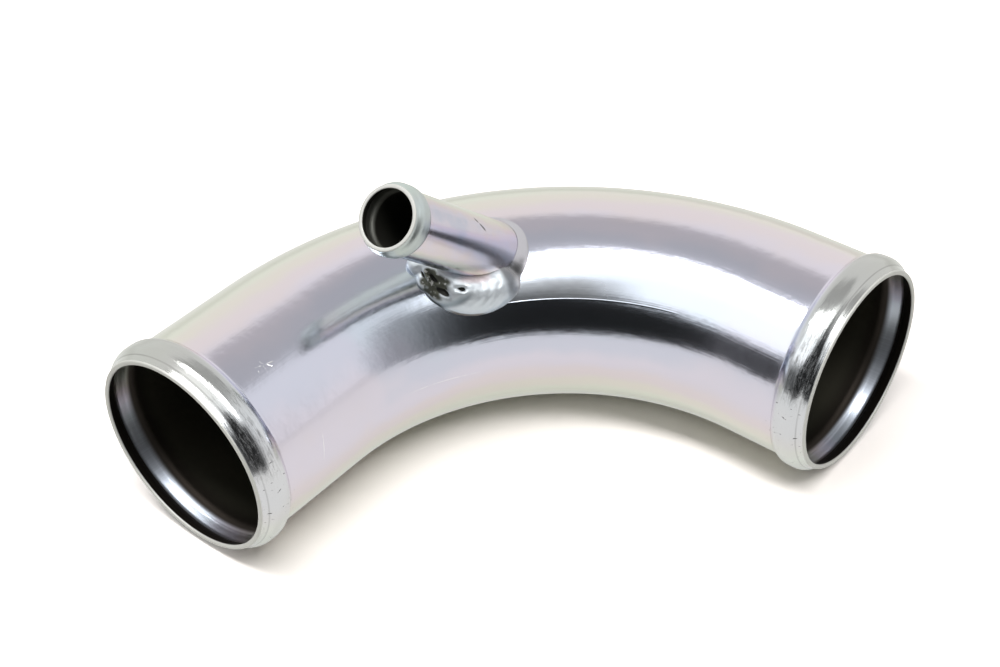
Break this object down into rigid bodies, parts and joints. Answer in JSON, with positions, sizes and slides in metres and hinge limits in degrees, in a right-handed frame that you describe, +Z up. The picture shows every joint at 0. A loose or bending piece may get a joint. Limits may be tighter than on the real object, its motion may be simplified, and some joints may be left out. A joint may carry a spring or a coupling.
{
  "type": "air inlet pipe",
  "caption": "Right-angle steel air inlet pipe with a rolled hose bead at each end and a small beaded stub welded at a slant onto the bend.",
  "frame": {"origin": "under the middle of the pipe's box, on the surface that the pipe lies on", "axes": "+X out of the outlet's mouth, -Y out of the inlet's mouth, +Z up, at right angles to the bend, on the side that the stub rises"},
  "size_m": [0.196, 0.213, 0.122],
  "materials": {
    "plated_steel": "bright zinc plate with a faint rainbow passivate",
    "plated_stub": "bright zinc plate with a faint rainbow passivate",
    "weld_metal": "zinc plate over rippled weld metal"
  },
  "bodies": {
    "root": {"bent_tube": "plated_steel", "side_stub": "plated_stub", "stub_weld": "weld_metal"}
  },
  "joints": []
}
